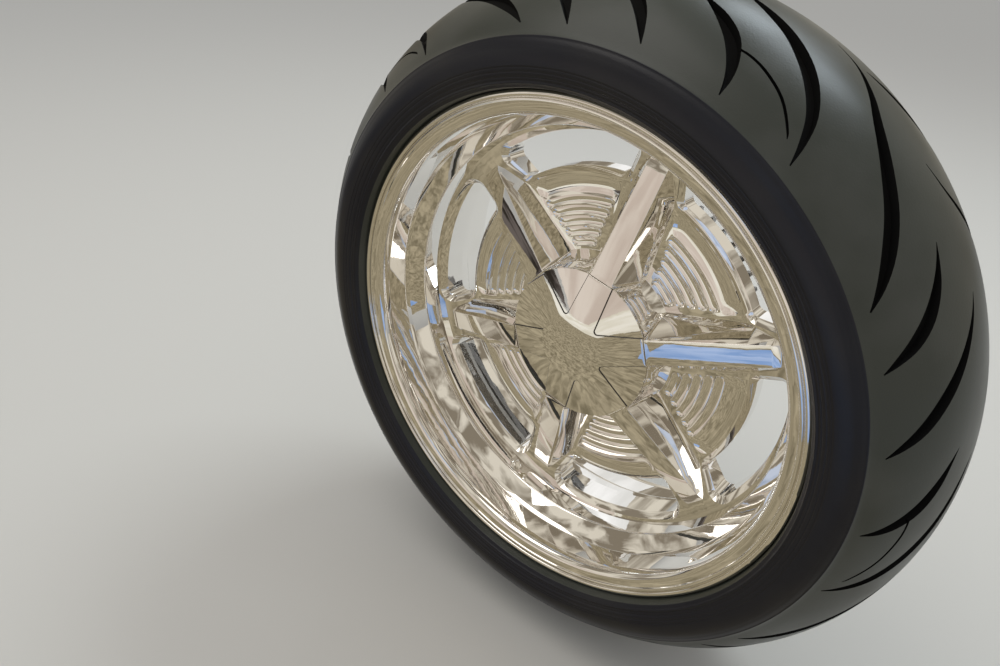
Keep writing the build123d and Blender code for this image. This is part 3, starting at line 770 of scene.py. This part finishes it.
seat_radius, seat_flat, seat_depth, above_hub = 74.0, 72.9, 53.2, 30
seat_line = cap_line(seat_radius, seat_flat)
seat = loft_sections("seat", [
    [bay_place(p, depth, 0) for p in seat_line] for depth in (above_hub, seat_depth)
])
cut(wheel_centre, seat)
wheel_centre.data.materials.clear()
wheel_centre.data.materials.append(polished_alloy)
smooth(wheel_centre, 28)
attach(wheel_centre, "wheel")
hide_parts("wheel_centre")

# Hub cap: a thin spun aluminium dome pressed into the hub, polished with the wheel.
# Six strips carry the spokes' flats on up a cone to its round middle, with a shallow petal between each two.
cap_radius, cap_flat, cap_edge_depth, round_radius, cap_wall = 73.0, 72.0, 50.0, 33.0, 4.0
strip_fall = (strip_end_depth - cap_edge_depth) / (strip_end - cap_flat)
cone_turn = atan2(strip_fall, 1)
dome_radius = round_radius / sin(cone_turn)
dome_centre = cap_edge_depth - strip_fall * (cap_flat - round_radius) + dome_radius * cos(cone_turn)


def dome_depth(radius, sunk=0.0):
    """Depth of the dome at a radius, sunk by an amount: a round middle inside a cone."""
    ball = dome_radius - sunk
    if radius < ball * sin(cone_turn):
        return dome_centre - sqrt(ball**2 - radius**2)
    return dome_centre - ball * cos(cone_turn) + strip_fall * (radius - ball * sin(cone_turn))


# Sections in the order of its skin: from the top out to the edge, round it, along the spigot and back inside.
cap_sections = []
rim_round = 0.6
shares = [0.004] + [k / 34 for k in range(1, 34)] + [1 - rim_round / cap_radius]
for share in shares:
    line = cap_line(cap_radius * share, cap_flat * share)
    cap_sections.append([bay_place(p, dome_depth(hypot(*p)), 0) for p in line])
for lean in (radians(30), radians(60), radians(90)):
    share = 1 - rim_round / cap_radius * (1 - sin(lean))
    line = cap_line(cap_radius * share, cap_flat * share)
    cap_sections.append([bay_place(p, dome_depth(hypot(*p)) + rim_round * (1 - cos(lean)), 0) for p in line])
cap_back, spigot_end = 53.0, 59.0
spigot_radius, spigot_flat, bore_radius, bore_flat = 50.0, 49.3, 46.0, 45.4
under_edge = [
    (cap_radius, cap_flat, cap_back), (spigot_radius, spigot_flat, cap_back),
    (spigot_radius, spigot_flat, spigot_end), (bore_radius, bore_flat, spigot_end),
    (bore_radius, bore_flat, dome_depth(bore_radius, cap_wall)),
]
for radius, flat, depth in under_edge:
    cap_sections.append([bay_place(p, depth, 0) for p in cap_line(radius, flat)])
for share in (0.8, 0.6, 0.4, 0.2, 0.01):
    line = cap_line(bore_radius * share, bore_flat * share)
    cap_sections.append([bay_place(p, dome_depth(hypot(*p), cap_wall), 0) for p in line])
cap = loft_sections("cap_dome", cap_sections)

petal_tip, petal_half, petal_depth, petal_round = 30.8, radians(33), 0.9, 3.0


def petal_line(grown):
    """Outline of a petal about +X in mm, grown by an amount, as (along, across) points."""
    tip = petal_tip - grown / sin(petal_half)
    reaches = (66, 56, 48, 40, 32, 24, 16, 9)
    side = [(tip + reach * cos(petal_half), reach * sin(petal_half), 0) for reach in reaches]
    other_side = [(x, -y, 0) for x, y, _ in reversed(side)]
    return rounded(side + [(tip, 0, petal_round + grown)] + other_side, steps=8)


# A petal's walls slope in by a millimetre from just over the dome to just under the petal's floor.
petal_sections = []
for grown, sunk in ((0.55, -4.0), (0.55, -0.04), (-0.45, petal_depth + 0.06), (-0.45, petal_depth + 4)):
    petal_sections.append([bay_place(p, dome_depth(hypot(*p), sunk), bay_turn) for p in petal_line(grown)])
petal_cutter = loft_sections("petal", petal_sections)
copies_round(petal_cutter, sixths)
under_radius, under_depth = 91, 80
under_line = [(r, dome_depth(r, petal_depth)) for r in (0, *range(4, under_radius + 1, 3))]
under_dome = spin_profile("under_dome", under_line + [(under_radius, under_depth), (0, under_depth)])

# Painted shade along the petals' walls: the thin steps are coloured dark, in patches.
petal_wall_shade, tree, shader = new_material("petal_wall_shade")
shader.inputs["Metallic"].default_value = 0.6
film = place_group(tree, dirt, {"Scale": 300.0, "Amount": 0.8})
tone = mix_colours(tree, film.outputs["Mask"], (0.05, 0.045, 0.04, 1), (0.16, 0.145, 0.12, 1))
tree.links.new(tone, shader.inputs["Base Color"])
tree.links.new(span(tree, film.outputs["Mask"], 0.0, 0.8, 0.35, 0.6), shader.inputs["Roughness"])
petal_cutter.data.materials.append(petal_wall_shade)
under_dome.data.materials.append(polished_alloy)
cap.data.materials.append(polished_alloy)
cut(petal_cutter, under_dome)
cut(cap, petal_cutter)
smooth(cap, 28)
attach(cap, "wheel")
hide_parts("hub_cap")

# Bearings: two sealed steel ball bearings, pressed into the hub from each side.
# The nut and the sleeve clamp their inner rings on the axle.
worn_edges, given, made = new_group("worn_edges", [("Width", "Float", 0.0006)], ["Mask"])
softened = add_node(worn_edges, "Bevel", {"Radius": given.outputs["Width"]}, samples=4)
true_normal = add_node(worn_edges, "NewGeometry").outputs["Normal"]
turned_away = add_node(
    worn_edges, "VectorMath", {0: softened.outputs["Normal"], 1: true_normal}, operation="DOT_PRODUCT"
)
worn_edges.links.new(span(worn_edges, turned_away.outputs["Value"], 0.99, 0.88), made.inputs["Mask"])


def turned_metal(name, colour, edge_colour, gloss, haze, rings, ring_height, dust):
    """Turned or ground metal: fine rings about the axle, brighter worn edges, cloudy gloss and dry dust."""
    metal, tree, shader = new_material(name)
    shader.inputs["Metallic"].default_value = 1
    place = add_node(tree, "TexCoord").outputs["Object"]
    marks = place_group(tree, polish_marks, {"Scale": 70.0, "Gloss": gloss, "Haze": haze})
    wear = place_group(tree, worn_edges, {"Width": 0.0007})
    film = place_group(tree, dirt, {"Scale": 22.0, "Amount": dust})
    tone = mix_colours(tree, wear.outputs["Mask"], (*colour, 1), (*edge_colour, 1))
    tone = mix_colours(tree, film.outputs["Mask"], tone, (0.16, 0.14, 0.12, 1))
    tree.links.new(tone, shader.inputs["Base Color"])
    tree.links.new(marks.outputs["Roughness"], shader.inputs["Roughness"])
    lines = {"Vector": place, "Scale": rings, "Distortion": 1.2, "Detail": 2.0, "Detail Scale": 3.0}
    wave = add_node(tree, "TexWave", lines, wave_type="RINGS", rings_direction="Y")
    relief = {"Height": wave.outputs["Fac"], "Strength": ring_height, "Distance": 0.0001}
    tree.links.new(add_node(tree, "Bump", relief).outputs["Normal"], shader.inputs["Normal"])
    return metal


def dress(names, material):
    """Give carried-over solids a material in each of their own slots."""
    for name in names:
        for own in nodes[name].material_slots:
            own.material = material


bearing_steel = turned_metal(
    "ground_bearing_steel", (0.50, 0.50, 0.52), (0.70, 0.70, 0.71),
    gloss=0.16, haze=0.28, rings=260.0, ring_height=0.4, dust=0.3,
)
dress(["bearing_near", "bearing_far"], bearing_steel)

# Valve and balance weight: a nickel plated brass valve through the rim's well on the hidden side, with its
# cap, and opposite it a grey cast weight stuck to the rim.
nickel_plate = turned_metal(
    "nickel_plate", (0.66, 0.64, 0.60), (0.74, 0.60, 0.36),
    gloss=0.12, haze=0.30, rings=420.0, ring_height=0.5, dust=0.35,
)
dress(["valve_stem", "valve_cap"], nickel_plate)
cast_weight, tree, shader = new_material("cast_weight")
shader.inputs["Metallic"].default_value = 0.7
film = place_group(tree, dirt, {"Scale": 60.0, "Amount": 0.5})
edges = place_group(tree, worn_edges, {"Width": 0.0009})
tone = mix_colours(tree, film.outputs["Mask"], (0.27, 0.27, 0.28, 1), (0.14, 0.13, 0.12, 1))
tone = mix_colours(tree, edges.outputs["Mask"], tone, (0.45, 0.45, 0.45, 1))
tree.links.new(tone, shader.inputs["Base Color"])
tree.links.new(span(tree, film.outputs["Mask"], 0.0, 0.5, 0.42, 0.62), shader.inputs["Roughness"])
place = add_node(tree, "TexCoord").outputs["Object"]
casting = add_node(tree, "TexNoise", {"Vector": place, "Scale": 900.0})
bump = add_node(tree, "Bump", {"Height": casting.outputs["Fac"], "Strength": 0.5, "Distance": 0.0002})
tree.links.new(bump.outputs["Normal"], shader.inputs["Normal"])
dress(["balance_weight"], cast_weight)

# Brake disc: a drilled steel ring, ground in circles, that floats on six hollow turned bobbins.
# The bobbins join it to an alloy carrier with one arm for each spoke, bolted to the hub's hidden end.
disc_steel = turned_metal(
    "ground_disc_steel", (0.47, 0.465, 0.46), (0.62, 0.61, 0.60),
    gloss=0.17, haze=0.30, rings=300.0, ring_height=0.9, dust=0.25,
)
dress(["brake_disc"], disc_steel)
brushed_alloy = turned_metal(
    "brushed_alloy", (0.74, 0.735, 0.73), (0.88, 0.88, 0.87),
    gloss=0.18, haze=0.34, rings=210.0, ring_height=0.7, dust=0.35,
)
dress(["disc_carrier", "sprocket_drum", "axle_flange"], brushed_alloy)
bobbin_steel = turned_metal(
    "turned_bobbin_steel", (0.58, 0.57, 0.54), (0.75, 0.74, 0.72),
    gloss=0.14, haze=0.26, rings=350.0, ring_height=0.4, dust=0.3,
)
bobbin_circle = 91.85
bobbin_outline = rounded([
    (2.6, 145.6, 0.3), (4.0, 145.0, 0.2), (6.5, 145.0, 0.5),
    (6.5, 153.0, 0.5), (4.0, 153.0, 0.2), (2.6, 152.4, 0.3),
], steps=3)


def ride_wheel(piece):
    """The piece turns with the wheel."""
    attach(piece, "wheel")


bobbins = spin_profile("hollow_bobbins", bobbin_outline, steps=40, beside=bobbin_circle, turn=spoke_turn)
copies_round(bobbins, sixths)
bobbins.data.materials.append(bobbin_steel)
smooth(bobbins)
ride_wheel(bobbins)
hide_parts("disc_bobbins")

# Drum and sprocket: an alloy spool spaces the hard anodised forty-tooth sprocket off the hub.
# Six cap screws hold its foot to the hub, and six bolts with nuts hold the sprocket to its head.
sprocket_grey = turned_metal(
    "anodised_sprocket", (0.30, 0.30, 0.31), (0.72, 0.72, 0.72),
    gloss=0.26, haze=0.42, rings=240.0, ring_height=0.6, dust=0.3,
)
# Old chain grease, thickest on the teeth.
tree = sprocket_grey.node_tree
shader = tree.nodes["Principled BSDF"]
place = add_node(tree, "TexCoord").outputs["Object"]
flat_place = add_node(tree, "VectorMath", {0: place, 1: (1, 0, 1)}, operation="MULTIPLY")
from_axle = add_node(tree, "VectorMath", {0: flat_place.outputs[0]}, operation="LENGTH").outputs["Value"]
grease_starts, grease_full = 0.093, 0.099
by_radius = span(tree, from_axle, grease_starts, grease_full, 0.15, 0.9)
smear = place_group(tree, dirt, {"Scale": 45.0, "Amount": 1.0}).outputs["Mask"]
greased = add_node(tree, "Math", {0: by_radius, 1: smear}, operation="MULTIPLY").outputs[0]
own_tone = shader.inputs["Base Color"].links[0].from_socket
tree.links.new(mix_colours(tree, greased, own_tone, (0.03, 0.026, 0.02, 1)), shader.inputs["Base Color"])
dress(["sprocket"], sprocket_grey)
plated_steel = turned_metal(
    "plated_steel", (0.44, 0.44, 0.45), (0.66, 0.66, 0.66),
    gloss=0.20, haze=0.36, rings=330.0, ring_height=0.5, dust=0.3,
)


def hex_part(name, half_flat, start, end, beside, turn, chamfer):
    """Nut or bolt head on an axis beside the axle, between two depths, chamfered at its outer end."""
    uncut = 2 * half_flat
    stations = [
        (start, uncut), (end - chamfer * 0.5, uncut),
        (end - chamfer * 0.2, half_flat * 1.10), (end, half_flat * 1.02),
    ]
    sections = []
    for depth, trim in stations:
        line = []
        for k in range(36):
            angle = 2 * pi * k / 36
            reach = min(half_flat / cos((angle + pi / 6) % (pi / 3) - pi / 6), trim)
            line.append((beside + reach * cos(angle), reach * sin(angle)))
        sections.append([bay_place(p, depth, turn) for p in line])
    return loft_sections(name, sections)


screw_outline = rounded([
    (0, 161.0, 0), (6.2, 161.0, 0.2), (6.2, 164.6, 1.2), (2.9, 166.0, 0.3), (2.9, 163.0, 0.2), (0, 162.6, 0),
], closed=False, steps=4)
screw_circle, bolt_circle, half_flat = 50.2, 56, 5.0
foot_screws = spin_profile("foot_screws", screw_outline, steps=36, beside=screw_circle, turn=bay_turn)
washer_face, washer_back = 208, 209.2
washer_outline = rounded([
    (4.2, washer_face, 0), (7.2, washer_face, 0.3), (7.2, washer_back, 0.3), (4.2, washer_back, 0),
], steps=2)
washers = spin_profile("washers", washer_outline, steps=36, beside=bolt_circle, turn=bay_turn)
bolt_heads = hex_part("bolt_heads", half_flat, washer_back, 213.8, bolt_circle, bay_turn, 1.2)
nuts = hex_part("nuts", half_flat, 191.0, 185.0, bolt_circle, bay_turn, -1.2)
for piece in (foot_screws, washers, bolt_heads, nuts):
    copies_round(piece, sixths)
    piece.data.materials.append(plated_steel)
    smooth(piece)
    ride_wheel(piece)

# Stub axle: a fixed turned steel shaft with its nut under the hub cap, a spacer sleeve and a mounting flange
# whose ring of bolt holes and raised register fit the machine's hub carrier.
dress(["stub_axle", "axle_nut", "axle_spacer"], plated_steel)
